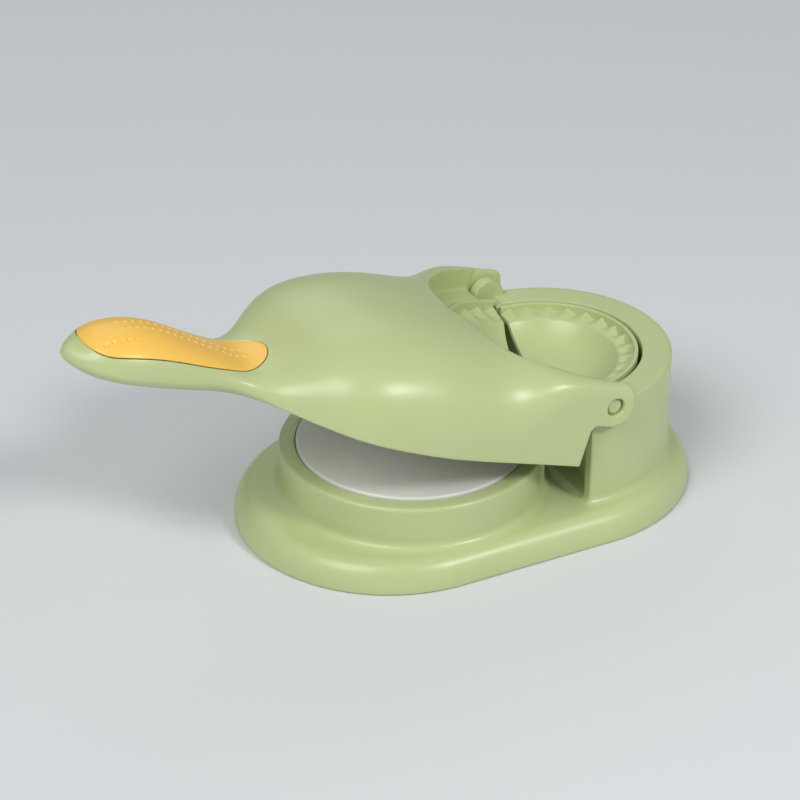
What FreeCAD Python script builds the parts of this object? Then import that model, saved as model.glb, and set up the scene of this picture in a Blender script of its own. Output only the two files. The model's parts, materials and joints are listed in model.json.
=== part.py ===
import FreeCAD, Part
import math
import os

V = FreeCAD.Vector

# Base: a round-ended foot flange, a round press platform and a cut-off drum
base_radius = 60.4
base_half_span = 32.7
base_lift = 0.4
flange_top = 12.0
flange_foot = 1.0
flange_roll = 7.4
base_wall = 2.6
flange_wall = 5.0
press_x = -22.9
platform_inset = 8.9
platform_radius = base_radius - platform_inset
platform_top = 29.6
platform_edge_round = 2.0
drum_inset = 11.3
drum_radius = base_radius - drum_inset
drum_behind = 0.6
drum_top = 55.0
drum_rim = 10.9
drum_bore = drum_radius - drum_rim
drum_edge_round = 0.9
drum_front_ahead = 6.7
drum_cheek = 5.0
mould_floor = 26.0

# Lower press plate
plate_inset = 6.5
plate_radius = platform_radius - plate_inset
plate_gap = 0.4
plate_seat = 26.6
plate_top = 30.6
plate_dish = 0.8
plate_edge_round = 0.9

# Hinge: pins pressed into two lugs on the drum, bushes in the lever's ears
hinge_x = 35.2
hinge_z = 55.9
lug_radius = 6.6
lug_stand = 0.1
lug_outer = drum_radius + lug_stand
lug_thick = 4.7
lug_inner = lug_outer - lug_thick
lug_depth = 8.0
pin_radius = 2.4
pin_head_radius = 3.5
pin_head_thick = 0.5
pin_head_clear = 0.2
pin_boss_radius = 2.65
pin_boss_thick = 1.0
bush_wall = 1.0
running_clear = 0.05
washer_radius = 5.0
washer_thick = 0.7
washer_clear = 0.1
ear_inner = lug_outer + washer_thick + washer_clear
ear_thick = 4.6
ear_outer = ear_inner + ear_thick
ear_radius = 8.3
ear_reach = 11.0
ear_hole_radius = 4.0
ear_hole_depth = 3.0
ear_round = 1.6

# Lever: the angle that it is raised by at rest, then its walls and recess
lever_raise = 18.5
lid_wall = 2.6
handle_wall = 4.6
lever_rear = 7.5
recess_clear = 0.5
recess_radius = drum_radius + drum_behind + recess_clear
recess_wall = 1.9
floor_thick = 2.0
leaf_gap = 0.5
ledge_thick = 2.0
ledge_width = 7.6

# Cross-sections of the lever when lowered. Handle: distance ahead of the hinge,
# half width, top and parting line against the hinge, squareness, and how deep the
# underside hangs below the parting line
handle_foot = -17.6
handle_sections = [
    (203.0, 2.6, -15.0, handle_foot, 2.2, 1.4),
    (200.0, 7.4, -12.9, handle_foot, 2.2, 3.4),
    (195.0, 12.3, -8.7, handle_foot, 2.2, 5.1),
    (186.0, 16.4, -5.1, handle_foot, 2.2, 6.3),
    (172.0, 18.0, -4.2, handle_foot, 2.2, 6.9),
    (157.0, 18.0, -7.4, handle_foot, 2.2, 6.9),
    (142.0, 18.0, -11.2, handle_foot, 2.3, 6.9),
    (131.0, 21.8, -12.4, -19.6, 2.6, 4.6),
    (121.0, 30.0, -7.2, -21.9, 3.0, 1.4),
]

# Lid: distance ahead, how far it lies inside the ears' outer faces, top, parting
# line and squareness
lid_sections = [
    (111.0, 14.4, 2.0, -22.7, 3.1),
    (100.0, 6.8, 8.2, -23.3, 2.9),
    (86.0, 2.9, 12.4, -24.2, 2.8),
    (70.0, 0.8, 13.9, -25.0, 2.8),
    (50.0, 0.0, 13.1, -25.4, 2.9),
    (35.0, 0.0, 11.4, -25.4, 4.5),
    (22.0, 0.0, 10.3, -25.4, 12.0),
    (lever_rear, 0.0, 9.4, -25.4, 22.0),
]
arch_points = 36
corner_crowding = 0.2

# Handle underside
handle_seam = 0.15
handle_cover_wall = 2.0
handle_pocket_least = 1.0

# Soft grip let into the handle's top: outline as distance ahead and half width
grip_rear = 122.3
grip_front = 198.0
grip_outline = [(124.6, 6.6), (132.0, 12.2), (145.0, 14.8), (160.0, 15.7), (175.0, 15.9), (186.0, 14.8),
                (193.0, 11.8), (196.8, 6.7)]
grip_thick = 2.2
grip_gap = 0.2
grip_core_end = 105.0

# Mould halves: both cups are half bowls with a crimping flange
rear_mould_gap = 1.6
rear_mould_radius = drum_bore - rear_mould_gap
rear_mould_top = -0.6
crimp_width = 7.6
cup_radius = rear_mould_radius - crimp_width
cup_depth = 14.0
crimp_drop = 4.2
mould_wall = 2.0
mould_rim_wall = 1.6
mould_split = 0.4
leaf_inset = 8.5
leaf_radius = drum_radius - leaf_inset
leaf_top = 0.5
tooth_count = 14
tooth_height = 2.0
tooth_tip_height = 0.2
tooth_share = 0.97
tooth_crest_share = 0.2
rear_tooth_shift = 0.5
leaf_tooth_shift = 0.0

# Upper press disc
disc_inset = 0.8
disc_radius = plate_radius - disc_inset
disc_thick = 3.5
press_gap = 1.0
disc_boss_radius = 3.6
disc_boss_places = [(22.0, 20.0), (-5.0, 33.0)]

# Bottom cover and feet
cover_thick = 2.0
cover_recess = 1.2
cover_gap = 0.3
foot_radius = 7.0
foot_stem_radius = 3.0
foot_ahead = 28.8
foot_x = base_half_span + foot_ahead
foot_y = base_radius / 2
cover_boss_radius = 3.8
cover_boss_ahead = 25.0
cover_boss_behind = 12.0
cover_boss_y = 25.0

# Screws
screw_radius = 1.2
screw_head_radius = 2.3
screw_head_thick = 1.5
screw_bite = 8.0
mould_boss_radius = 3.6
mould_screw_angle = 40.0
mould_screw_inset = 4.2
mould_screw_ring = rear_mould_radius - mould_screw_inset
leaf_screw_inset = 4.8
leaf_screw_ring = leaf_radius - leaf_screw_inset
leaf_screw_angles = [30.0, 90.0, 150.0]
leaf_screw_bite = 1.4
handle_screw_places = [150.0, 182.0]
handle_screw_bite = 5.0
handle_boss_radius = 3.2

# Room past every face, for cutting tools, and how near counts as the same place
ROOM = 200.0
SAME = 0.001
hinge_point = V(hinge_x, 0.0, hinge_z)
axis_y = V(0.0, 1.0, 0.0)
axis_z = V(0.0, 0.0, 1.0)
drum_x = hinge_x + drum_behind
drum_front = hinge_x - drum_front_ahead
cover_foot = base_lift + cover_recess
cover_top = cover_foot + cover_thick
disc_foot = plate_top + press_gap
mould_seat = hinge_z - crimp_drop - mould_wall
handle_seat = hinge_z + handle_foot
lever_sections = [section[:5] for section in handle_sections]
lever_sections += [(u, ear_outer - inset, top, foot, square) for u, inset, top, foot, square in lid_sections]


def block(x0, x1, y0, y1, z0, z1):
    return Part.makeBox(x1 - x0, y1 - y0, z1 - z0, V(x0, y0, z0))


def disc(radius, z0, z1, x=0.0, y=0.0):
    return Part.makeCylinder(radius, z1 - z0, V(x, y, z0))


def cross_disc(radius, y0, y1):
    """Cylinder along the hinge axis."""
    return Part.makeCylinder(radius, y1 - y0, V(hinge_x, y0, hinge_z), axis_y)


def ring(outer, inner, z0, z1, x=0.0):
    return disc(outer, z0, z1, x).cut(disc(inner, z0, z1, x))


def stadium(radius, z0, z1):
    """Round-ended plate between two heights."""
    a = base_half_span
    top = Part.LineSegment(V(-a, radius, z0), V(a, radius, z0))
    right = Part.Arc(V(a, radius, z0), V(a + radius, 0, z0), V(a, -radius, z0))
    low = Part.LineSegment(V(a, -radius, z0), V(-a, -radius, z0))
    left = Part.Arc(V(-a, -radius, z0), V(-a - radius, 0, z0), V(-a, radius, z0))
    wire = Part.Wire([part.toShape() for part in (top, right, low, left)])
    return Part.Face(wire).extrude(V(0, 0, z1 - z0))


def edges_at(shape, z):
    """Edges that lie wholly at one height."""
    return [e for e in shape.Edges
            if abs(e.BoundBox.ZMin - z) < SAME and abs(e.BoundBox.ZMax - z) < SAME]


def behind(x):
    return block(x, x + ROOM, -ROOM, ROOM, -ROOM, ROOM)


def ahead(x):
    return block(x - ROOM - ROOM, x, -ROOM, ROOM, -ROOM, ROOM)


def both_sides(shape):
    """A near piece and its mirror image on the far side."""
    return shape, shape.mirror(V(0, 0, 0), axis_y)


def raised(shape):
    """Turn a lever piece from its lowered place to its place at rest."""
    turned = shape.copy()
    turned.rotate(hinge_point, axis_y, lever_raise)
    return turned


def screw(x, y, seat, bite):
    """Screw driven upwards, with its head under the seat."""
    head = disc(screw_head_radius, seat - screw_head_thick, seat, x, y)
    return head.fuse(disc(screw_radius, seat, seat + bite, x, y))


def screw_hole(x, y, seat, bite):
    return disc(screw_radius, seat, seat + bite, x, y)


# Places that several pieces share
cover_boss_places = [(x, y) for x in (press_x - cover_boss_ahead, hinge_x + cover_boss_behind)
                     for y in (-cover_boss_y, cover_boss_y)]
foot_places = {
    "foot_front_near": (-foot_x, -foot_y),
    "foot_front_far": (-foot_x, foot_y),
    "foot_rear_near": (foot_x, -foot_y),
    "foot_rear_far": (foot_x, foot_y),
    "foot_centre": (0.0, 0.0),
}


def mould_screw_places():
    angles = [math.radians(a) for a in (-mould_screw_angle, mould_screw_angle)]
    return [(hinge_x + mould_screw_ring * math.cos(a), mould_screw_ring * math.sin(a)) for a in angles]


def leaf_screw_places():
    angles = [math.radians(a) for a in leaf_screw_angles]
    return [(hinge_x - leaf_screw_ring * math.sin(a), leaf_screw_ring * math.cos(a)) for a in angles]


def disc_screw_places():
    return [(press_x - u, s * y) for u, y in disc_boss_places for s in (-1, 1)]


# Base shell
def flange_profile():
    """Half section of the flange on the XZ plane: a low upright foot, then an elliptic roll to the top."""
    roll_end = V(base_radius - flange_roll, 0, flange_top)
    shoulder = V(base_radius, 0, base_lift + flange_foot)
    corners = [roll_end, V(0, 0, flange_top), V(0, 0, base_lift), V(base_radius, 0, base_lift), shoulder]
    edges = [Part.LineSegment(a, b).toShape() for a, b in zip(corners, corners[1:])]
    roll = Part.BezierCurve()
    roll.setPoles([shoulder, V(base_radius, 0, flange_top), roll_end])
    roll.setWeight(2, math.cos(math.pi / 4))
    edges.append(roll.toShape())
    return Part.Face(Part.Wire(edges))


def make_flange():
    """The profile turned round at both ends and drawn along both straight sides."""
    rear = flange_profile()
    rear.rotate(V(0, 0, 0), axis_z, -90.0)
    side = rear.copy()
    rear = rear.revolve(V(0, 0, 0), axis_z, 180.0)
    rear.translate(V(base_half_span, 0, 0))
    front = rear.mirror(V(0, 0, 0), V(1, 0, 0))
    side.translate(V(-base_half_span, 0, 0))
    near, far = both_sides(side.extrude(V(2 * base_half_span, 0, 0)))
    return near.fuse([far, rear, front]).removeSplitter()


def make_platform():
    platform = disc(platform_radius, base_lift, platform_top, press_x)
    return platform.makeFillet(platform_edge_round, edges_at(platform, platform_top))


def make_drum():
    """Drum cut off in front, with a mouth between its two cheeks."""
    drum = disc(drum_radius, base_lift, drum_top, drum_x)
    drum = drum.makeFillet(drum_edge_round, edges_at(drum, drum_top))
    half = drum_radius - drum_cheek
    mouth = block(drum_front, hinge_x, -half, half, flange_top, drum_top + ROOM)
    return drum.common(behind(drum_front)).cut(mouth)


def make_lugs():
    lug = cross_disc(lug_radius, -lug_outer, -lug_inner)
    post = block(hinge_x - lug_radius, hinge_x + lug_radius, -lug_outer, -lug_inner,
                 hinge_z - lug_depth, hinge_z)
    return both_sides(lug.fuse(post))


def make_base_shell():
    body = make_flange().fuse([make_platform(), make_drum()] + list(make_lugs())).removeSplitter()
    roof = plate_seat - base_wall
    deck = mould_floor - base_wall
    inside_drum = behind(hinge_x + base_wall)
    rim_hollow = ring(drum_radius - base_wall, drum_bore + base_wall, deck, drum_top - base_wall, drum_x)
    cuts = [
        stadium(base_radius - flange_wall, 0.0, flange_top - base_wall),
        disc(platform_radius - base_wall, 0.0, roof, press_x),
        disc(plate_radius + plate_gap, plate_seat, platform_top + ROOM, press_x),
        disc(drum_radius - base_wall, 0.0, deck, drum_x).common(inside_drum),
        rim_hollow.common(inside_drum),
        disc(drum_bore, mould_floor, drum_top + ROOM, hinge_x).common(behind(hinge_x)),
        disc(leaf_radius + leaf_gap, hinge_z - lug_depth, drum_top + ROOM, hinge_x).common(
            ahead(hinge_x + mould_split)),
        cross_disc(pin_radius, -ROOM, ROOM),
    ]
    body = body.cut(cuts)
    bosses = []
    for x, y in cover_boss_places:
        bosses.append(disc(cover_boss_radius, cover_top, roof if x < 0 else deck, x, y))
    body = body.fuse(bosses).removeSplitter()
    holes = [screw_hole(x, y, cover_top, screw_bite) for x, y in cover_boss_places]
    holes += [screw_hole(x, y, deck, base_wall) for x, y in mould_screw_places()]
    return body.cut(holes)


# Bottom cover, its screws and the rubber feet
def make_bottom_cover():
    cover = stadium(base_radius - flange_wall - cover_gap, cover_foot, cover_top)
    holes = [disc(foot_stem_radius, 0.0, cover_top, x, y) for x, y in foot_places.values()]
    for x, y in cover_boss_places:
        holes.append(disc(screw_radius, 0.0, cover_top, x, y))
        holes.append(disc(screw_head_radius, 0.0, cover_foot + screw_head_thick, x, y))
    return cover.cut(holes)


def make_cover_screws():
    seat = cover_foot + screw_head_thick
    bite = cover_top - seat + screw_bite
    return Part.makeCompound([screw(x, y, seat, bite) for x, y in cover_boss_places])


def make_foot(x, y):
    pad = disc(foot_radius, 0.0, cover_foot, x, y)
    return pad.fuse(disc(foot_stem_radius, cover_foot, cover_top, x, y)).removeSplitter()


# Lower press plate with a shallow dish
def make_press_plate():
    plate = disc(plate_radius, plate_seat, plate_top, press_x)
    plate = plate.makeFillet(plate_edge_round, edges_at(plate, plate_top))
    flat = plate_radius - 2 * plate_edge_round
    sphere_radius = (flat ** 2 + plate_dish ** 2) / (2 * plate_dish)
    return plate.cut(Part.makeSphere(sphere_radius, V(press_x, 0, plate_top - plate_dish + sphere_radius)))


# Mould halves, drawn as a half turn of one profile
def cup_sphere():
    """Radius of the ball that the cup is a cap of."""
    return (cup_radius ** 2 + cup_depth ** 2) / (2 * cup_depth)


def mould_profile(rim, top, foot):
    """Profile in radius and height over the hinge, from the rim to the middle of the cup."""
    flange = -crimp_drop
    bottom = flange - cup_depth
    sphere = cup_sphere()
    outer_sphere = sphere + mould_wall
    centre = bottom + sphere

    def on_sphere(radius, share, ball):
        return V(share * radius, 0, centre - math.sqrt(ball ** 2 - (share * radius) ** 2))

    under = flange - mould_wall
    under_radius = math.sqrt(outer_sphere ** 2 - (centre - under) ** 2)
    inner_rim = rim - mould_rim_wall
    corners = [V(cup_radius, 0, flange), V(inner_rim, 0, flange), V(inner_rim, 0, top), V(rim, 0, top),
               V(rim, 0, foot)]
    if foot < under:
        corners.append(V(inner_rim, 0, foot))
        corners.append(V(inner_rim, 0, under))
    corners.append(V(under_radius, 0, under))
    edges = [Part.LineSegment(a, b).toShape() for a, b in zip(corners, corners[1:])]
    low = V(0, 0, bottom - mould_wall)
    edges.append(Part.Arc(corners[-1], on_sphere(under_radius, 0.5, outer_sphere), low).toShape())
    edges.append(Part.LineSegment(low, V(0, 0, bottom)).toShape())
    edges.append(Part.Arc(V(0, 0, bottom), on_sphere(cup_radius, 0.5, sphere), corners[0]).toShape())
    return Part.Face(Part.Wire(edges))


def tooth(rim):
    """One crimping pleat that tapers towards the cup, on the +X axis."""
    half_pitch = math.pi / tooth_count / 2

    def end(radius, height):
        half = radius * math.sin(half_pitch * tooth_share)
        crest = half * tooth_crest_share
        points = [V(radius, -half, -crimp_drop), V(radius, half, -crimp_drop),
                  V(radius, crest, height - crimp_drop), V(radius, -crest, height - crimp_drop)]
        return Part.makePolygon(points + points[:1])

    outer = end(rim - mould_rim_wall, tooth_height)
    return Part.makeLoft([outer, end(cup_radius, tooth_tip_height)], True, True)


def make_mould(rim, top, foot, shift):
    """Half mould on the +X side of the hinge, before it is moved to the hinge."""
    body = mould_profile(rim, top, foot).revolve(V(0, 0, 0), axis_z, 180.0)
    body.rotate(V(0, 0, 0), axis_z, -90.0)
    teeth = []
    for index in range(tooth_count + 1):
        if index + shift <= tooth_count:
            one = tooth(rim)
            one.rotate(V(0, 0, 0), axis_z, -90.0 + (index + shift) * 180.0 / tooth_count)
            teeth.append(one)
    return body.fuse(teeth).removeSplitter().common(behind(mould_split))


def make_rear_mould():
    body = make_mould(rear_mould_radius, rear_mould_top, mould_floor - hinge_z, rear_tooth_shift)
    body.translate(hinge_point)
    inside = disc(rear_mould_radius, mould_floor, mould_seat, hinge_x)
    cup = Part.makeSphere(cup_sphere(), V(hinge_x, 0, hinge_z - crimp_drop - cup_depth + cup_sphere()))
    bosses = [disc(mould_boss_radius, mould_floor, mould_seat, x, y).common(inside).cut(cup)
              for x, y in mould_screw_places()]
    body = body.fuse(bosses).removeSplitter()
    return body.cut([screw_hole(x, y, mould_floor, screw_bite) for x, y in mould_screw_places()])


def make_mould_screws():
    seat = mould_floor - base_wall
    return Part.makeCompound([screw(x, y, seat, base_wall + screw_bite) for x, y in mould_screw_places()])


def make_leaf():
    body = make_mould(leaf_radius, leaf_top, -crimp_drop - mould_wall, leaf_tooth_shift)
    body = body.mirror(V(0, 0, 0), V(1, 0, 0))
    body.translate(hinge_point)
    return body.cut([screw_hole(x, y, mould_seat, leaf_screw_bite) for x, y in leaf_screw_places()])


def make_leaf_screws():
    bite = ledge_thick + leaf_screw_bite
    return Part.makeCompound([screw(x, y, mould_seat - ledge_thick, bite) for x, y in leaf_screw_places()])


# Hinge pieces on the near side
def make_pin():
    head_seat = ear_outer - ear_hole_depth + pin_head_clear
    head_face = head_seat + pin_head_thick
    shank = cross_disc(pin_radius, -head_seat, -lug_inner)
    head = cross_disc(pin_head_radius, -head_face, -head_seat)
    boss = cross_disc(pin_boss_radius, -head_face - pin_boss_thick, -head_face)
    return shank.fuse([head, boss]).removeSplitter()


def make_washer():
    outside = cross_disc(washer_radius, -lug_outer - washer_thick, -lug_outer)
    return outside.cut(cross_disc(pin_radius + running_clear, -ROOM, ROOM))


def make_bush():
    outside = cross_disc(pin_radius + running_clear + bush_wall, -ear_outer + ear_hole_depth, -ear_inner)
    return outside.cut(cross_disc(pin_radius + running_clear, -ROOM, ROOM))


# Lever solids, from the same cross-sections
def arch(ahead_by, half, base, rise, square):
    """One closed cross-section: an arch over a straight foot, or hanging from it."""
    points = []
    for index in range(arch_points + 1):
        step = math.pi * index / arch_points
        angle = step + corner_crowding * math.sin(4 * step)
        c, s = math.cos(angle), math.sin(angle)
        reach = (abs(c) ** square + abs(s) ** square) ** (-1.0 / square)
        points.append(V(hinge_x - ahead_by, half * c * reach, base + rise * s * reach))
    curve = Part.BSplineCurve()
    curve.interpolate(points)
    return Part.Wire([curve.toShape(), Part.makeLine(points[-1], points[0])])


def make_arched(sections, walls, drop):
    """Loft through sections that are drawn in by walls and let down at their foot."""
    wires = []
    for (u, half, top, foot, square), wall in zip(sections, walls):
        wires.append(arch(u, half - wall, hinge_z + foot - drop, top - wall - foot + drop, square))
    return Part.makeLoft(wires, True, False)


def make_lever_outside():
    return make_arched(lever_sections, [0.0] * len(lever_sections), 0.0)


def make_lever_inside():
    """The hollow: open below, and open at the rear past the last section."""
    rear = (lever_rear - lid_wall,) + lever_sections[-1][1:]
    sections = [s for s in lever_sections if s[1] > 2 * handle_wall] + [rear]
    walls = [handle_wall if s[0] > grip_rear else lid_wall for s in sections]
    return make_arched(sections, walls, lid_wall)


def grip_prism(grow):
    """Upright prism over the grip's outline, grown by a gap."""
    side = [(grip_rear - grow, 0.0)] + [(u, y + grow) for u, y in grip_outline] + [(grip_front + grow, 0.0)]
    loop = side + [(u, -y) for u, y in reversed(side[1:-1])]
    curve = Part.BSplineCurve()
    curve.interpolate([V(hinge_x - u, y, 0) for u, y in loop], PeriodicFlag=True)
    face = Part.Face(Part.Wire(curve.toShape()))
    return face.extrude(V(0, 0, ROOM))


def make_grip_core(depth):
    """The handle's arch drawn in by the grip's depth."""
    sections = [s for s in lever_sections if s[1] > 2 * grip_thick and s[0] > grip_core_end]
    return make_arched(sections, [depth] * len(sections), grip_thick)


def make_grip(outside):
    return outside.common(grip_prism(0.0)).cut(make_grip_core(grip_thick))


def ring_parts(outside):
    """Recess wall, recess floor, and the collar and ledge that hold the leaf."""
    hole = leaf_radius + leaf_gap
    collar = hole + floor_thick
    low = mould_seat - ledge_thick
    wall = ring(recess_radius + recess_wall, hole, hinge_z - floor_thick, hinge_z + ROOM, hinge_x)
    collar_ring = ring(collar, hole, low, hinge_z, hinge_x)
    ledge = ring(collar, leaf_radius - ledge_width, low, mould_seat, hinge_x)
    front = ahead(hinge_x - lever_rear)
    return wall.fuse([collar_ring, ledge]).common(front).common(outside)


def make_ears():
    """Hinge ears, kept within the lid's rear section drawn on past them."""
    half, top, foot, square = lever_sections[-1][1:]
    rear = Part.Face(arch(-ear_radius, half, hinge_z + foot, top - foot, square))
    outline = rear.extrude(V(-ear_radius - ear_reach, 0, 0))
    ear = cross_disc(ear_radius, -ear_outer, -ear_inner)
    arm = block(hinge_x - ear_reach, hinge_x, -ear_outer, -ear_inner,
                hinge_z - ear_radius, hinge_z + ear_radius)
    ear = ear.fuse(arm).removeSplitter()
    rim = [e for e in ear.Edges if e.BoundBox.YMax < ear_round - ear_outer]
    return both_sides(ear.makeFillet(ear_round, rim).common(outline))


def make_disc_bosses(outside):
    foot = disc_foot + disc_thick
    return [disc(disc_boss_radius, foot, hinge_z + ROOM, x, y).common(outside)
            for x, y in disc_screw_places()]


def make_handle_bosses(outside):
    return [disc(handle_boss_radius, handle_seat, hinge_z + ROOM, hinge_x - u).common(outside)
            for u in handle_screw_places]


def make_lever_shell(outside):
    shell = outside.cut(make_lever_inside())
    shell = shell.fuse([ring_parts(outside)] + make_disc_bosses(outside) + make_handle_bosses(outside))
    shell = shell.cut(disc(recess_radius, hinge_z, hinge_z + ROOM, hinge_x))
    shell = shell.cut(disc(leaf_radius + leaf_gap, hinge_z - floor_thick, hinge_z + ROOM, hinge_x))
    shell = shell.fuse(list(make_ears()))
    pocket = grip_prism(grip_gap).cut(make_grip_core(grip_thick))
    cuts = [pocket, cross_disc(pin_radius + running_clear + bush_wall, -ROOM, ROOM)]
    for side in (-1, 1):
        low, high = sorted((side * (ear_outer - ear_hole_depth), side * ROOM))
        cuts.append(cross_disc(ear_hole_radius, low, high))
    cuts += [screw_hole(x, y, disc_foot + disc_thick, screw_bite) for x, y in disc_screw_places()]
    cuts += [screw_hole(hinge_x - u, 0, handle_seat, handle_screw_bite) for u in handle_screw_places]
    cuts += [screw_hole(x, y, mould_seat - ledge_thick, ledge_thick) for x, y in leaf_screw_places()]
    return shell.cut(cuts)


def make_bowl(sections, wall, floor):
    """Loft of the handle's underside, drawn in by a wall and raised by a floor."""
    wires = []
    for u, half, top, foot, square, depth in sections:
        wires.append(arch(u, half - wall, hinge_z + foot - handle_seam, floor - depth, square))
    return Part.makeLoft(wires, True, False)


def make_handle_lower():
    bowl = make_bowl(handle_sections, 0.0, 0.0)
    deep = [s for s in handle_sections if s[5] > handle_cover_wall + handle_pocket_least]
    pocket = make_bowl(deep, handle_wall, handle_cover_wall)
    posts = [disc(handle_boss_radius, 0.0, hinge_z, hinge_x - u) for u in handle_screw_places]
    bowl = bowl.cut(pocket.cut(posts))
    seat = handle_seat - screw_head_thick
    holes = []
    for u in handle_screw_places:
        holes.append(disc(screw_radius, seat, hinge_z, hinge_x - u))
        holes.append(disc(screw_head_radius, seat - ROOM, seat, hinge_x - u))
    return bowl.cut(holes)


def make_handle_screws():
    seat = handle_seat - screw_head_thick
    return Part.makeCompound([screw(hinge_x - u, 0.0, seat, screw_head_thick + handle_screw_bite)
                              for u in handle_screw_places])


def make_press_disc():
    body = disc(disc_radius, disc_foot, disc_foot + disc_thick, press_x)
    body = body.makeFillet(plate_edge_round, edges_at(body, disc_foot))
    holes = []
    for x, y in disc_screw_places():
        holes.append(disc(screw_radius, disc_foot, disc_foot + disc_thick, x, y))
        holes.append(disc(screw_head_radius, disc_foot, disc_foot + screw_head_thick, x, y))
    return body.cut(holes)


def make_disc_screws():
    seat = disc_foot + screw_head_thick
    bite = disc_thick - screw_head_thick + screw_bite
    return Part.makeCompound([screw(x, y, seat, bite) for x, y in disc_screw_places()])


def make_parts():
    outside = make_lever_outside()
    pins = both_sides(make_pin())
    washers = both_sides(make_washer())
    bushes = both_sides(make_bush())
    parts = {
        "base_shell": make_base_shell(),
        "bottom_cover": make_bottom_cover(),
        "bottom_cover_screws": make_cover_screws(),
        "lower_press_plate": make_press_plate(),
        "rear_mould_half": make_rear_mould(),
        "rear_mould_screws": make_mould_screws(),
        "hinge_pin_near": pins[0],
        "hinge_pin_far": pins[1],
        "friction_washer_near": washers[0],
        "friction_washer_far": washers[1],
    }
    for name, (x, y) in foot_places.items():
        parts[name] = make_foot(x, y)
    lever = {
        "lever_shell": make_lever_shell(outside),
        "handle_lower_shell": make_handle_lower(),
        "handle_screws": make_handle_screws(),
        "handle_grip": make_grip(outside),
        "upper_press_disc": make_press_disc(),
        "press_disc_screws": make_disc_screws(),
        "front_mould_leaf": make_leaf(),
        "leaf_screws": make_leaf_screws(),
        "hinge_bush_near": bushes[0],
        "hinge_bush_far": bushes[1],
    }
    for name, shape in lever.items():
        parts[name] = raised(shape)
    return parts


os.makedirs("parts", exist_ok=True)
for name, shape in make_parts().items():
    box = shape.BoundBox
    print(name, len(shape.Solids), shape.isValid(), round(shape.Volume),
          [round(v, 1) for v in (box.XMin, box.YMin, box.ZMin, box.XMax, box.YMax, box.ZMax)])
    shape.exportStep("parts/" + name + ".step")
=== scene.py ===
import itertools
import json
import math

import bpy
import bmesh
import numpy as np
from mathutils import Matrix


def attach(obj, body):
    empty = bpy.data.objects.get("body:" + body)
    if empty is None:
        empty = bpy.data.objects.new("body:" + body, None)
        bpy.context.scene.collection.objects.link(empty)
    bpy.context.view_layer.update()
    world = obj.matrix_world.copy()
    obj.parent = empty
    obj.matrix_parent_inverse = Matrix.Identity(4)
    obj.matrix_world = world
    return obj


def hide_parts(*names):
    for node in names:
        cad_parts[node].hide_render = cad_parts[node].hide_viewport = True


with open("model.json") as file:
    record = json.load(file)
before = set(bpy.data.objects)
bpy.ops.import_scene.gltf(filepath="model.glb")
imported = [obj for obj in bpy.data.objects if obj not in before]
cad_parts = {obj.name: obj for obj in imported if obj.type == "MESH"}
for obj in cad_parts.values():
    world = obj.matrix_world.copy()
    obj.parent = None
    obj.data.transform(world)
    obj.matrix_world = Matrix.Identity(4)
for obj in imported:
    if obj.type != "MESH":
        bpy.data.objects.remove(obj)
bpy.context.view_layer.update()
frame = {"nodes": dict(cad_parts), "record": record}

import openvdb
from mathutils import Vector

MM = 0.001

# Sizes in millimetres, most of them the solids' own
base_radius = 60.4
base_half_span = 32.7
base_lift = 0.4
flange_top = 12.0
flange_foot = 1.0
flange_roll = 7.4
flange_wall = 5.0
base_wall = 2.6
press_x = -22.9
platform_radius = 51.5
platform_top = 29.6
plate_radius = 45.0
plate_gap = 0.4
plate_seat = 26.6
hinge_x = 35.2
hinge_z = 55.9
drum_x = 35.8
drum_radius = 49.1
drum_top = 55.0
drum_bore = 38.2
drum_front = 28.5
drum_cheek = 5.0
mould_floor = 26.0
lug_radius = 6.6
lug_inner = 44.5
lug_outer = 49.2
lug_depth = 8.0
pin_radius = 2.4
bush_radius = 3.45
ear_inner = 50.0
ear_outer = 54.6
ear_radius = 8.3
ear_reach = 11.0
ear_top = 9.4
ear_shoulder = 5.8
ear_shoulder_round = 3.4
ear_hole_radius = 3.7
ear_hole_depth = 3.0
lever_raise = math.radians(18.5)
lever_rear = 7.5
lid_wall = 2.6
handle_wall = 4.6
recess_radius = 50.2
recess_wall = 1.9
floor_thick = 2.0
leaf_radius = 40.6
leaf_gap = 0.5
leaf_top = 0.5
ledge_radius = 33.0
ledge_thick = 2.0
collar_wall = 2.0
rear_mould_radius = 36.6
rear_mould_top = -0.6
crimp_drop = 4.2
mould_wall = 2.0
mould_rim_wall = 1.6
mould_split = 0.4
cup_radius = 29.0
cup_depth = 14.0
tooth_count = 14
tooth_height = 2.4
tooth_tip_share = 0.1
tooth_flank = math.radians(25.0)
leaf_tooth_shift = 0.0
rear_tooth_shift = 0.5
grip_thick = 2.2
grip_gap = 0.3

# Rounded edges and hollow fillets
cove_round = 3.2
platform_edge_round = 1.3
drum_edge_round = 0.9
cheek_edge_round = 0.6
foot_edge_round = 0.5
lid_edge_round = 0.6
rim_edge_round = 0.8
recess_foot_round = 1.2
ear_fillet = 2.6
fine_edge = 0.5
sharpest_share = 0.02

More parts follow.
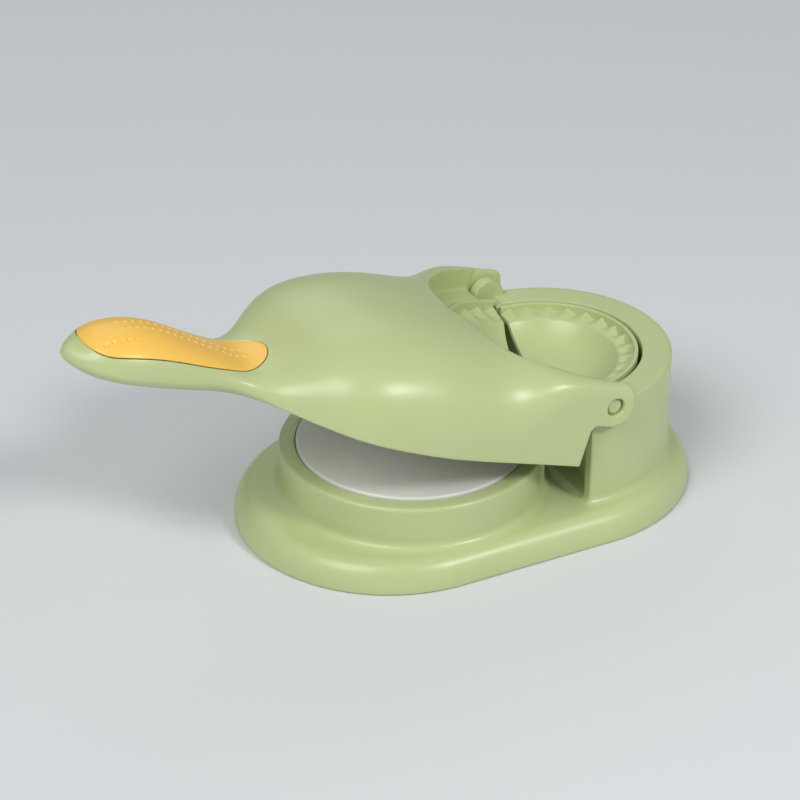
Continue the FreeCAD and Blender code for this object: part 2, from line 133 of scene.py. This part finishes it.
# Lever cross-sections when lowered: distance ahead of the hinge, half width, top and
# parting line against the hinge, and squareness of the arch
lever_sections = [
    (203.0, 2.6, -15.0, -17.6, 2.2),
    (200.0, 7.4, -12.9, -17.6, 2.2),
    (195.0, 12.3, -8.7, -17.6, 2.2),
    (186.0, 16.4, -5.1, -17.6, 2.2),
    (172.0, 18.0, -4.2, -17.6, 2.2),
    (157.0, 18.0, -7.4, -17.6, 2.2),
    (142.0, 18.0, -11.2, -17.6, 2.3),
    (131.0, 21.8, -12.4, -19.6, 2.6),
    (121.0, 30.0, -7.2, -21.9, 3.0),
    (111.0, 40.2, 2.0, -22.7, 3.1),
    (100.0, 47.8, 8.2, -23.3, 2.9),
    (86.0, 51.7, 12.4, -24.2, 2.8),
    (70.0, 53.8, 13.9, -25.0, 2.8),
    (50.0, 54.6, 13.1, -25.4, 2.9),
    (35.0, 54.6, 11.4, -25.4, 4.5),
    (22.0, 54.6, 10.3, -25.4, 12.0),
    (7.5, 54.6, 9.4, -25.4, 22.0),
]
lever_tip = 203.7
handle_rear = 112.0
handle_depths = [(203.0, 1.4), (200.0, 3.4), (195.0, 5.1), (186.0, 6.3), (172.0, 6.9), (157.0, 6.9),
                 (142.0, 6.9), (131.0, 4.6), (121.0, 1.4), (handle_rear, 0.15)]
handle_overlap = 0.2
grip_outline = [(122.8, 0.0), (125.0, 6.6), (132.0, 12.0), (145.0, 14.6), (160.0, 15.5), (175.0, 15.7),
                (186.0, 14.6), (193.0, 11.7), (196.8, 6.6), (198.0, 0.0)]
grip_rear = grip_outline[0][0]
grip_front = grip_outline[-1][0]

# Raised dots along the grip's crest, a row of fading dents on each flank, and the power that shapes both
crest_dots = 18
crest_dot_front = 184.0
crest_dot_pitch = 3.1
crest_dot_side = 2.5
crest_dot_radius = 1.05
crest_dot_height = 0.45
flank_dents = 7
flank_dent_front = 191.9
flank_dent_pitch = 2.75
flank_dent_side = 9.1
flank_dent_radius = 1.15
flank_dent_depth = 0.8
dot_power = 1.5

base_step = 0.7
lid_step = 0.75
handle_step = 0.36
grip_step = 0.28
mould_step = 0.42
grid_margin = 2.0
mould_margin = 1.5
coarseness = 1.0

# Angles in degrees from which an edge is crisp: in a grid cell, on a meshed piece and on a solid
cell_edge_angle = 32.0
piece_edge_angle = 40.0
solid_edge_angle = 30.0

# Smallest divisors, and the smallest square that a root is taken of
TINY = 1e-6
GENTLEST = 1.0
LEAST_STEEPNESS = 0.05
LEAST_SQUARE = 0.02


# Fields: distance-like numbers, below zero inside a shape
def round_meet(a, b, radius):
    """Inside both shapes, with a rounded edge where their faces meet."""
    da = np.maximum(a + radius, 0.0)
    db = np.maximum(b + radius, 0.0)
    return np.minimum(np.maximum(a, b), -radius) + np.hypot(da, db)


def round_join(a, b, radius):
    """Inside either shape, with a hollow fillet where their faces meet."""
    da = np.maximum(radius - a, 0.0)
    db = np.maximum(radius - b, 0.0)
    return np.maximum(np.minimum(a, b), radius) - np.hypot(da, db)


def every(*fields):
    """Inside every one of the shapes."""
    made = fields[0]
    for field in fields[1:]:
        made = np.maximum(made, field)
    return made


def spline(knots):
    """Natural cubic through (place, value) pairs, flat past its ends; gives value and slope."""
    places, values = np.array(sorted(knots), float).T
    step = np.diff(places)
    rise = np.diff(values) / step
    count = len(places)
    matrix = np.eye(count)
    right = np.zeros(count)
    for i in range(1, count - 1):
        matrix[i, i - 1:i + 2] = step[i - 1], 2 * (step[i - 1] + step[i]), step[i]
        right[i] = 6 * (rise[i] - rise[i - 1])
    bend = np.linalg.solve(matrix, right)

    def at(place):
        inside = (place >= places[0]) & (place <= places[-1])
        place = np.clip(place, places[0], places[-1])
        i = np.clip(np.searchsorted(places, place) - 1, 0, count - 2)
        t = place - places[i]
        first = rise[i] - step[i] * (2 * bend[i] + bend[i + 1]) / 6
        third = (bend[i + 1] - bend[i]) / (6 * step[i])
        value = values[i] + t * (first + t * (bend[i] / 2 + t * third))
        return value, np.where(inside, first + t * (bend[i] + t * 3 * third), 0.0)

    return at


def squared(knots, end):
    """Curve of squared values, which closes as a round nose at its end."""
    return spline([(place, value ** 2) for place, value in knots] + [(end, 0.0)])


half_square = squared([(u, half) for u, half, top, foot, square in lever_sections], lever_tip)
rise_square = squared([(u, top - foot) for u, half, top, foot, square in lever_sections], lever_tip)
depth_square = squared(handle_depths, lever_tip)
foot_curve = spline([(u, foot) for u, half, top, foot, square in lever_sections])
square_curve = spline([(u, math.log(square)) for u, half, top, foot, square in lever_sections])
grip_square = spline([(u, half ** 2) for u, half in grip_outline])


def arch_reach(a, b, square):
    """Size of the arch through a point, as a share of the whole arch, and the arch's slopes there."""
    larger = np.maximum(np.maximum(a, b), TINY)
    reach = larger * ((a / larger) ** square + (b / larger) ** square) ** (1.0 / square)
    reach = np.maximum(reach, TINY)
    return reach, (a / reach) ** (square - 1.0), (b / reach) ** (square - 1.0)


def arch_field(u, y, lift, lift_slope, height_square):
    """Distance to an arched skin whose half width and height change along the lever."""
    half2, half2_slope = half_square(u)
    high2, high2_slope = height_square(u)
    square = np.exp(square_curve(u)[0])
    half2 = np.maximum(half2, LEAST_SQUARE)
    high2 = np.maximum(high2, LEAST_SQUARE)
    half, high = np.sqrt(half2), np.sqrt(high2)
    a = np.abs(y) / half
    b = np.maximum(lift, 0.0) / high
    reach, along_y, along_h = arch_reach(a, b, square)
    grow = along_y * a * half2_slope / (2 * half2)
    grow = grow + along_h * (b * high2_slope / (2 * high2) - lift_slope / high)
    steep = np.sqrt((along_y / half) ** 2 + (along_h / high) ** 2 + grow ** 2)
    return np.maximum((reach - 1.0) / np.maximum(steep, TINY), u - lever_tip)


def lever_skin(u, y, h):
    """Outside of the lever above its parting line."""
    foot, foot_slope = foot_curve(u)
    return arch_field(u, y, h - foot, -foot_slope, rise_square)


def grip_edge(u, y, h):
    """Distance to the grip's outline along the handle's skin, so that its edge stands square to it."""
    half = np.sqrt(np.maximum(half_square(u)[0], LEAST_SQUARE))
    high = np.sqrt(np.maximum(rise_square(u)[0], LEAST_SQUARE))
    lift = np.maximum(h - foot_curve(u)[0], 0.0)
    reach, along_y, along_h = arch_reach(np.abs(y) / half, lift / high, np.exp(square_curve(u)[0]))
    at_skin = np.abs(y) / reach
    facing_up = along_h / high / np.maximum(np.hypot(along_y / half, along_h / high), TINY)
    half2, slope = grip_square(u)
    steep = np.sqrt((2 * at_skin * facing_up) ** 2 + slope ** 2)
    inside = (at_skin ** 2 - half2) / np.maximum(steep, GENTLEST)
    ends = np.maximum(grip_rear - u, u - grip_front)
    return np.maximum(inside, ends)


def ring_field(spread, h, inner, outer, low, high):
    """Upright ring between two radii and two heights."""
    return every(inner - spread, spread - outer, low - h, h - high)


def lever_field(u, y, h):
    """Lid, ears and upper handle in one moulding, in the lowered lever's own frame."""
    side = np.abs(y)
    axle = np.hypot(u, h)
    spread = np.hypot(u, y)
    skin = lever_skin(u, y, h)
    foot = foot_curve(u)[0]
    rear = lever_rear - u
    shoulder = round_meet(-u - ear_shoulder, h - ear_top, ear_shoulder_round)
    ear = round_join(axle - ear_radius, every(shoulder, u - ear_reach, -h), ear_fillet)
    ear = np.minimum(ear, every(-u, u - ear_reach, np.abs(h) - ear_radius))
    region = np.minimum(rear, np.maximum(round_join(rear, ear, ear_fillet), ear_inner - side))
    body = round_meet(skin, region, rim_edge_round)
    recess = every(round_meet(spread - recess_radius, -h, recess_foot_round), lever_rear - recess_wall - u)
    body = round_meet(body, -recess, rim_edge_round)

    low = -crimp_drop - mould_wall - ledge_thick
    hole = leaf_radius + leaf_gap
    wall = np.where(u > grip_rear, handle_wall, lid_wall)
    kept = every(spread - recess_radius - recess_wall, -h - floor_thick)
    collar = ring_field(spread, h, hole, hole + collar_wall, low, 0.0)
    ledge = ring_field(spread, h, ledge_radius, hole + collar_wall, low, low + ledge_thick)
    hollow = every(skin + wall, -kept, -collar, -ledge, -np.maximum(ear, ear_inner - side))
    body = round_meet(body, -hollow, fine_edge)
    leaf_hole = every(spread - hole, -h - floor_thick - fine_edge, lever_rear - recess_wall - u)
    body = round_meet(body, -leaf_hole, fine_edge)

    lid_share = np.clip((grip_rear - u) / (grip_rear - handle_rear), sharpest_share, 1.0)
    body = round_meet(body, foot - h - handle_overlap * (1.0 - lid_share), lid_edge_round * lid_share)
    body = round_meet(body, -every(axle - ear_hole_radius, ear_outer - ear_hole_depth - side), fine_edge)
    body = np.maximum(body, bush_radius - axle)
    pocket = every(grip_edge(u, y, h) - grip_gap, -skin - grip_thick)
    return np.maximum(body, -pocket)


def underside_field(u, y, h):
    """Lower half of the handle, which hangs from the parting line."""
    foot, foot_slope = foot_curve(u)
    skin = arch_field(u, y, foot - h, foot_slope, depth_square)
    return every(skin, h - foot, handle_rear - u)


def dot_rows(u, y, front, pitch, count, side):
    """Distance to the nearest dot of the rows on both flanks, and that dot's place in its row."""
    place = np.clip(np.round((front - u) / pitch), 0, count - 1)
    return np.hypot(u - front + pitch * place, np.abs(y) - side), place


def dome(away, radius):
    """Height of a round dot, as a share of its full height."""
    return np.maximum(1.0 - (away / radius) ** 2, 0.0) ** dot_power


def grip_field(u, y, h):
    """Soft inlay, flush with the handle's skin, with its dots and dents."""
    skin = lever_skin(u, y, h)
    away = dot_rows(u, y, crest_dot_front, crest_dot_pitch, crest_dots, crest_dot_side)[0]
    relief = crest_dot_height * dome(away, crest_dot_radius)
    away, place = dot_rows(u, y, flank_dent_front, flank_dent_pitch, flank_dents, flank_dent_side)
    fading = 1.0 - place / flank_dents
    relief = relief - flank_dent_depth * fading * dome(away, flank_dent_radius * np.sqrt(fading))
    body = round_meet(skin - relief, grip_edge(u, y, h), fine_edge)
    return np.maximum(body, -skin - grip_thick)


def mould_field(u, y, h, rim, top, foot, shift):
    """Half mould: a cup, a crimping flange with pleats, and a rim wall."""
    spread = np.hypot(u, y)
    phase = np.arctan2(u, y) * tooth_count / math.pi + shift
    crest = 1.0 - 2.0 * np.abs(phase - np.round(phase))
    inner_rim = rim - mould_rim_wall
    reach = np.clip((spread - cup_radius) / (inner_rim - cup_radius), tooth_tip_share, 1.0)
    cup_sphere = (cup_radius ** 2 + cup_depth ** 2) / (2 * cup_depth)
    from_centre = np.hypot(spread, h + crimp_drop + cup_depth - cup_sphere)
    flange = -crimp_drop
    pleats = (h - flange - tooth_height * reach * crest) * math.cos(tooth_flank)
    inside = round_meet(cup_sphere - from_centre, pleats, fine_edge)
    below = np.minimum(from_centre - cup_sphere - mould_wall, flange - mould_wall - h)
    plate = every(inside, below, spread - rim)
    wall = round_meet(np.maximum(inner_rim - spread, spread - rim), h - top, fine_edge)
    body = np.minimum(plate, every(wall, foot - h))
    return round_meet(body, mould_split - u, fine_edge / 2)


def leaf_field(u, y, h):
    """Front half mould, in the lowered lever's own frame."""
    foot = -crimp_drop - mould_wall
    return mould_field(u, y, h, leaf_radius, leaf_top, foot, leaf_tooth_shift)


def rear_mould_field(x, y, z):
    """Rear half mould, which stands in the drum."""
    u, h = x - hinge_x, z - hinge_z
    foot = mould_floor - hinge_z
    return mould_field(u, y, h, rear_mould_radius, rear_mould_top, foot, rear_tooth_shift)


def flange_field(plan, z):
    """Foot flange: upright at its foot, then an elliptic roll up to its flat top."""
    shoulder = base_lift + flange_foot
    rise = flange_top - shoulder
    out = np.maximum(plan - base_radius + flange_roll, 0.0) / flange_roll
    lift = np.maximum(z - shoulder, 0.0) / rise
    reach = np.maximum(np.hypot(out, lift), TINY)
    steep = np.maximum(np.hypot(out / flange_roll, lift / rise) / reach, 1.0 / (flange_roll + rise))
    return round_meet((reach - 1.0) / steep, base_lift - z, foot_edge_round)


def base_field(x, y, z):
    """Round-ended base with the press platform, the cut-off drum and the hinge lugs."""
    flange_plan = np.hypot(np.maximum(np.abs(x) - base_half_span, 0.0), y)
    press_spread = np.hypot(x - press_x, y)
    drum_spread = np.hypot(x - drum_x, y)
    hinge_spread = np.hypot(x - hinge_x, y)
    side = np.abs(y)
    floor = base_lift - z
    platform = round_meet(press_spread - platform_radius, z - platform_top, platform_edge_round)
    platform = every(platform, floor)
    mouth = every(x - hinge_x, side - drum_radius + drum_cheek, flange_top - z)
    drum = round_meet(drum_spread - drum_radius, z - drum_top, drum_edge_round)
    drum = round_meet(drum, drum_front - x, cheek_edge_round)
    drum = every(round_meet(drum, -mouth, cheek_edge_round), floor)
    body = round_join(flange_field(flange_plan, z), platform, cove_round)
    body = round_join(body, drum, cove_round)
    axle = np.hypot(x - hinge_x, z - hinge_z)
    post = every(np.abs(x - hinge_x) - lug_radius, z - hinge_z, hinge_z - lug_depth - z)
    lug_faces = np.maximum(side - lug_outer, lug_inner - side)
    lug = round_meet(np.minimum(axle - lug_radius, post), lug_faces, fine_edge)
    body = np.minimum(body, lug)
    seat = every(press_spread - plate_radius - plate_gap, plate_seat - z)
    bore = every(hinge_spread - drum_bore, mould_floor - z, hinge_x - x)
    sweep = every(hinge_spread - leaf_radius - leaf_gap, hinge_z - lug_depth - z, x - hinge_x - mould_split)
    for cut in (seat, bore, sweep):
        body = round_meet(body, -cut, fine_edge)
    behind_wall = hinge_x + base_wall - x
    hollows = [
        every(flange_plan - base_radius + flange_wall, z - flange_top + base_wall),
        every(press_spread - platform_radius + base_wall, z - plate_seat + base_wall),
        every(drum_spread - drum_radius + base_wall, z - mould_floor + base_wall, behind_wall),
        axle - pin_radius,
    ]
    for cut in hollows:
        body = np.maximum(body, -cut)
    return body


# Meshing
def grid_axis(start, *stretches):
    """Places along one axis of a grid: each stretch runs to its end in equal steps."""
    places = [np.array([float(start)])]
    for end, step in stretches:
        begin = places[-1][-1]
        count = max(int(round((end - begin) / (step * coarseness))), 1)
        places.append(np.linspace(begin, end, count + 1)[1:])
    return np.concatenate(places)


def field_slope(field, points):
    """How steeply a field rises along x, y and z."""
    nudge = 0.02
    slopes = []
    for axis in np.eye(3):
        change = field(*(points + nudge * axis).T) - field(*(points - nudge * axis).T)
        slopes.append(change / (2 * nudge))
    return np.stack(slopes, axis=1)


def pull_to_surface(field, points, furthest):
    """Newton steps onto the zero surface; gives the points and the slope there."""
    newton_steps = 3
    for _ in range(newton_steps):
        slope = field_slope(field, points)
        size = np.maximum((slope ** 2).sum(1), LEAST_STEEPNESS)
        move = -slope * (field(*points.T) / size)[:, None]
        length = np.maximum(np.linalg.norm(move, axis=1, keepdims=True), TINY)
        points = points + move * np.minimum(1.0, furthest / length)
    return points, slope


def unit(vectors):
    return vectors / np.maximum(np.linalg.norm(vectors, axis=1, keepdims=True), TINY)


def sharpen(field, points, slope, quads, low, high):
    """Move each point beside an edge onto that edge, within its own grid cell."""
    facing = unit(slope)
    beside = np.zeros(len(points), bool)
    limit = math.cos(math.radians(cell_edge_angle))
    for a, b in ((0, 1), (1, 2), (2, 3), (3, 0)):
        apart = (facing[quads[:, a]] * facing[quads[:, b]]).sum(1) < limit
        beside[quads[apart, a]] = True
        beside[quads[apart, b]] = True
    chosen = np.flatnonzero(beside)
    low, high = low[chosen], high[chosen]
    cell = np.linalg.norm(high - low, axis=1)
    hold = 0.02
    total = np.tile(hold * np.eye(3), (len(chosen), 1, 1))
    right = hold * points[chosen]
    for corner in itertools.product((False, True), repeat=3):
        place = np.where(corner, high, low)
        steep = field_slope(field, place)
        size = np.maximum(np.linalg.norm(steep, axis=1), TINY)
        normal = steep / size[:, None]
        away = field(*place.T) / size
        weight = (np.abs(away) < cell).astype(float)
        flat = (normal * place).sum(1) - away
        total += weight[:, None, None] * normal[:, :, None] * normal[:, None, :]
        right += (weight * flat)[:, None] * normal
    moved = np.linalg.solve(total, right[:, :, None])[:, :, 0]
    points[chosen] = np.clip(moved, low, high)
    return points


def cell_corner(axes, cells):
    """Places of grid points, from their numbers along the three axes."""
    places = [axis[np.clip(cells[:, i], 0, len(axis) - 1)] for i, axis in enumerate(axes)]
    return np.stack(places, axis=1)


def mesh_points(field, axes):
    """Points and faces of a field's zero surface, smooth on its faces and crisp along its edges."""
    values = field(axes[0][:, None, None], axes[1][None, :, None], axes[2][None, None, :])
    outside = 1.0
    grid = openvdb.FloatGrid(outside)
    grid.copyFromArray(np.ascontiguousarray(values, np.float32))
    places, quads = grid.convertToQuads(0.0)
    places = np.asarray(places, float)
    quads = np.asarray(quads)
    cells = np.floor(places).astype(int)
    low = cell_corner(axes, cells)
    high = cell_corner(axes, cells + 1)
    points = low + (places - cells) * (high - low)
    furthest = min(np.diff(axis).min() for axis in axes) / 2
    points, slope = pull_to_surface(field, points, furthest)
    return sharpen(field, points, slope, quads, low, high), quads


def raise_lever(points):
    """Lever frame (ahead, side, up) to the part's frame with the lever raised."""
    u, y, h = points.T
    c, s = math.cos(lever_raise), math.sin(lever_raise)
    return np.stack([hinge_x - u * c + h * s, y, hinge_z + u * s + h * c], axis=1)


def make_object(name, points, faces, material, body, nodes):
    """Mesh piece in metres that rides on a body and stands for CAD nodes."""
    mesh = bpy.data.meshes.new(name)
    mesh.from_pydata((points * MM).tolist(), [], faces.tolist())
    mesh.validate()
    work = bmesh.new()
    work.from_mesh(mesh)
    bmesh.ops.recalc_face_normals(work, faces=work.faces)
    work.to_mesh(mesh)
    work.free()
    shade_smooth(mesh, piece_edge_angle)
    mesh.materials.append(material)
    piece = bpy.data.objects.new(name, mesh)
    bpy.context.scene.collection.objects.link(piece)
    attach(piece, body)
    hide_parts(*nodes)


def shade_smooth(mesh, sharp_angle):
    mesh.polygons.foreach_set("use_smooth", np.ones(len(mesh.polygons), bool))
    mesh.set_sharp_from_angle(angle=math.radians(sharp_angle))


# Materials
def new_material(name):
    material = bpy.data.materials.new(name)
    material.use_nodes = True
    return material, material.node_tree.nodes, material.node_tree.links


def noise(nodes, links, scale, detail):
    """Noise that keeps its place on the object."""
    place = nodes.new("ShaderNodeTexCoord")
    texture = nodes.new("ShaderNodeTexNoise")
    texture.inputs["Scale"].default_value = scale
    texture.inputs["Detail"].default_value = detail
    links.new(place.outputs["Object"], texture.inputs["Vector"])
    return texture.outputs["Fac"]


def colour_by(nodes, links, value, deep, colour, deep_below, colour_above):
    """Base colour that runs from one colour to another with a value."""
    ramp = nodes.new("ShaderNodeValToRGB")
    ramp.color_ramp.elements[0].position = deep_below
    ramp.color_ramp.elements[1].position = colour_above
    ramp.color_ramp.elements[0].color = (*deep, 1.0)
    ramp.color_ramp.elements[1].color = (*colour, 1.0)
    links.new(value, ramp.inputs["Fac"])
    links.new(ramp.outputs["Color"], nodes["Principled BSDF"].inputs["Base Color"])


def roughness_by(nodes, links, value, least, most):
    """Roughness that runs from one level to another with a value."""
    spread = nodes.new("ShaderNodeMapRange")
    spread.inputs["To Min"].default_value = least
    spread.inputs["To Max"].default_value = most
    links.new(value, spread.inputs["Value"])
    links.new(spread.outputs["Result"], nodes["Principled BSDF"].inputs["Roughness"])


def relief_by(nodes, links, value, strength):
    """Fine relief that follows a value."""
    grain_depth = 0.1 * MM
    relief = nodes.new("ShaderNodeBump")
    relief.inputs["Strength"].default_value = strength
    relief.inputs["Distance"].default_value = grain_depth
    links.new(value, relief.inputs["Height"])
    links.new(relief.outputs["Normal"], nodes["Principled BSDF"].inputs["Normal"])


def plastic(name, colour, deep, roughness, grain, bump):
    """Moulded plastic: faint colour drift, uneven gloss and a fine moulded grain."""
    material, nodes, links = new_material(name)
    unevenness = 0.04
    drift = noise(nodes, links, scale=18.0, detail=3.0)
    colour_by(nodes, links, drift, deep, colour, deep_below=0.3, colour_above=0.7)
    gloss = noise(nodes, links, scale=60.0, detail=4.0)
    roughness_by(nodes, links, gloss, least=roughness - unevenness, most=roughness + unevenness)
    fine = noise(nodes, links, scale=grain, detail=2.0)
    relief_by(nodes, links, fine, strength=bump)
    return material


def steel_material():
    """Screw steel, with fine marks in its colour and its gloss."""
    material, nodes, links = new_material("steel")
    nodes["Principled BSDF"].inputs["Metallic"].default_value = 1.0
    dark, bright = (0.42, 0.42, 0.43), (0.62, 0.62, 0.63)
    marks = noise(nodes, links, scale=700.0, detail=4.0)
    colour_by(nodes, links, marks, dark, bright, deep_below=0.0, colour_above=1.0)
    roughness_by(nodes, links, marks, least=0.25, most=0.45)
    return material


green = plastic("green_plastic", colour=(0.515, 0.585, 0.285), deep=(0.495, 0.57, 0.27),
                roughness=0.33, grain=2200.0, bump=0.06)
green_pin = plastic("pin_green", colour=(0.505, 0.575, 0.28), deep=(0.485, 0.555, 0.265),
                    roughness=0.34, grain=2200.0, bump=0.06)
orange = plastic("grip_soft", colour=(0.98, 0.59, 0.108), deep=(0.96, 0.565, 0.1),
                 roughness=0.34, grain=3000.0, bump=0.1)
white = plastic("plate_white", colour=(0.76, 0.75, 0.69), deep=(0.74, 0.73, 0.67),
                roughness=0.4, grain=2600.0, bump=0.06)
nylon = plastic("nylon", colour=(0.72, 0.70, 0.64), deep=(0.69, 0.67, 0.61),
                roughness=0.5, grain=2000.0, bump=0.08)
rubber = plastic("foot_rubber", colour=(0.035, 0.036, 0.036), deep=(0.028, 0.028, 0.029),
                 roughness=0.75, grain=1800.0, bump=0.3)
slot_materials = {
    "green_plastic": green,
    "pin_green": green_pin,
    "grip_soft": orange,
    "plate_white": white,
    "nylon": nylon,
    "foot_rubber": rubber,
    "steel": steel_material(),
}
for subpart in frame["record"]["subparts"]:
    node = frame["nodes"][subpart["node"]]
    node.data.materials.clear()
    node.data.materials.append(slot_materials[subpart["material_slot"]])
    shade_smooth(node.data, solid_edge_angle)


# Pieces made from the fields
def make_base():
    long = base_half_span + base_radius + grid_margin
    wide = base_radius + grid_margin
    lowest = -1.0
    axes = [
        grid_axis(-long, (long, base_step)),
        grid_axis(-wide, (wide, base_step)),
        grid_axis(lowest, (hinge_z + lug_radius + grid_margin, base_step)),
    ]
    points, faces = mesh_points(base_field, axes)
    make_object("base_body", points, faces, green, "base", ["base_shell"])


def make_lever():
    """Lid and handle on one grid, which is finer around the handle."""
    handle_side, handle_start, handle_highest = 22.0, 113.0, -2.0
    lowest, highest = -27.0, 16.0
    rearmost, foremost = -ear_radius - grid_margin, lever_tip + grid_margin
    wide = ear_outer + grid_margin
    axes = [
        grid_axis(rearmost, (handle_start, lid_step), (foremost, handle_step)),
        grid_axis(-wide, (-handle_side, lid_step), (handle_side, handle_step), (wide, lid_step)),
        grid_axis(lowest, (handle_highest, handle_step), (highest, lid_step)),
    ]
    points, faces = mesh_points(lever_field, axes)
    points = raise_lever(points)
    make_object("lever_body", points, faces, green, "lever", ["lever_shell"])


def make_underside():
    wide, lowest, highest = 42.0, -26.0, -16.0
    axes = [
        grid_axis(handle_rear - grid_margin, (lever_tip + grid_margin, handle_step)),
        grid_axis(-wide, (wide, handle_step)),
        grid_axis(lowest, (highest, handle_step)),
    ]
    points, faces = mesh_points(underside_field, axes)
    points = raise_lever(points)
    make_object("handle_underside", points, faces, green, "lever", ["handle_lower_shell"])


def make_grip():
    wide, lowest, highest = 18.0, -19.0, -3.0
    axes = [
        grid_axis(grip_rear - grid_margin, (grip_front + grid_margin, grip_step)),
        grid_axis(-wide, (wide, grip_step)),
        grid_axis(lowest, (highest, grip_step)),
    ]
    points, faces = mesh_points(grip_field, axes)
    points = raise_lever(points)
    make_object("grip_inlay", points, faces, orange, "lever", ["handle_grip"])


def make_leaf():
    wide = leaf_radius + mould_margin
    deep = crimp_drop + cup_depth + mould_wall + mould_margin
    axes = [
        grid_axis(-mould_margin, (wide, mould_step)),
        grid_axis(-wide, (wide, mould_step)),
        grid_axis(-deep, (leaf_top + mould_margin, mould_step)),
    ]
    points, faces = mesh_points(leaf_field, axes)
    points = raise_lever(points)
    make_object("front_leaf", points, faces, green, "lever", ["front_mould_leaf"])


def make_rear_mould():
    wide = rear_mould_radius + mould_margin
    axes = [
        grid_axis(hinge_x - mould_margin, (hinge_x + wide, mould_step)),
        grid_axis(-wide, (wide, mould_step)),
        grid_axis(mould_floor - mould_margin, (hinge_z + mould_margin, mould_step)),
    ]
    points, faces = mesh_points(rear_mould_field, axes)
    make_object("rear_mould", points, faces, green, "base", ["rear_mould_half"])


make_base()
make_lever()
make_underside()
make_grip()
make_leaf()
make_rear_mould()


# Floor, light and camera, in metres and degrees
floor_half = 6.0
floor_colour = (0.72, 0.74, 0.75)
floor_roughness = 0.6
light_target = Vector((0.0, 0.0, 0.04))
world_colour = (0.9, 0.95, 1.0)
world_strength = 0.26
camera_target = Vector((-0.02811, 0.0, 0.0481))
camera_azimuth = -27.41
camera_elevation = 30.40
camera_distance = 1.14704

# Lens and sensor in millimetres
camera_lens = 135.0
camera_sensor = 36.0


def make_floor():
    mesh = bpy.data.meshes.new("floor")
    corners = [(x * floor_half, y * floor_half, 0.0) for x, y in ((-1, -1), (1, -1), (1, 1), (-1, 1))]
    mesh.from_pydata(corners, [], [(0, 1, 2, 3)])
    material = new_material("floor_pale")[0]
    shader = material.node_tree.nodes["Principled BSDF"]
    shader.inputs["Base Color"].default_value = (*floor_colour, 1.0)
    shader.inputs["Roughness"].default_value = floor_roughness
    mesh.materials.append(material)
    floor = bpy.data.objects.new("floor", mesh)
    bpy.context.scene.collection.objects.link(floor)


def direction(azimuth, elevation):
    """Unit vector away from the part; azimuth 0 is along -y."""
    a, e = math.radians(azimuth), math.radians(elevation)
    return Vector((math.sin(a) * math.cos(e), -math.cos(a) * math.cos(e), math.sin(e)))


def make_light(name, azimuth, elevation, distance, size, power):
    """Round lamp that faces the part."""
    data = bpy.data.lights.new(name, "AREA")
    data.shape = "DISK"
    data.size = size
    data.energy = power
    lamp = bpy.data.objects.new(name, data)
    bpy.context.scene.collection.objects.link(lamp)
    aim = direction(azimuth, elevation)
    lamp.location = light_target + aim * distance
    lamp.rotation_euler = aim.to_track_quat("Z", "Y").to_euler()


def make_world():
    """Even, pale light from all around."""
    world = bpy.data.worlds.new("studio")
    world.use_nodes = True
    background = world.node_tree.nodes["Background"]
    background.inputs["Color"].default_value = (*world_colour, 1.0)
    background.inputs["Strength"].default_value = world_strength
    bpy.context.scene.world = world


def make_camera():
    data = bpy.data.cameras.new("camera")
    data.lens = camera_lens
    data.sensor_width = camera_sensor
    camera = bpy.data.objects.new("camera", data)
    bpy.context.scene.collection.objects.link(camera)
    back = direction(camera_azimuth, camera_elevation)
    camera.location = camera_target + back * camera_distance
    camera.rotation_euler = back.to_track_quat("Z", "Y").to_euler()
    bpy.context.scene.camera = camera


make_floor()
make_light("key", azimuth=22.0, elevation=40.0, distance=1.6, size=0.35, power=10.2)
make_light("fill", azimuth=-64.0, elevation=47.0, distance=2.4, size=1.4, power=31.0)
make_light("back", azimuth=165.0, elevation=40.0, distance=2.0, size=1.2, power=3.0)
make_world()
bpy.context.scene.view_settings.view_transform = "Standard"
make_camera()
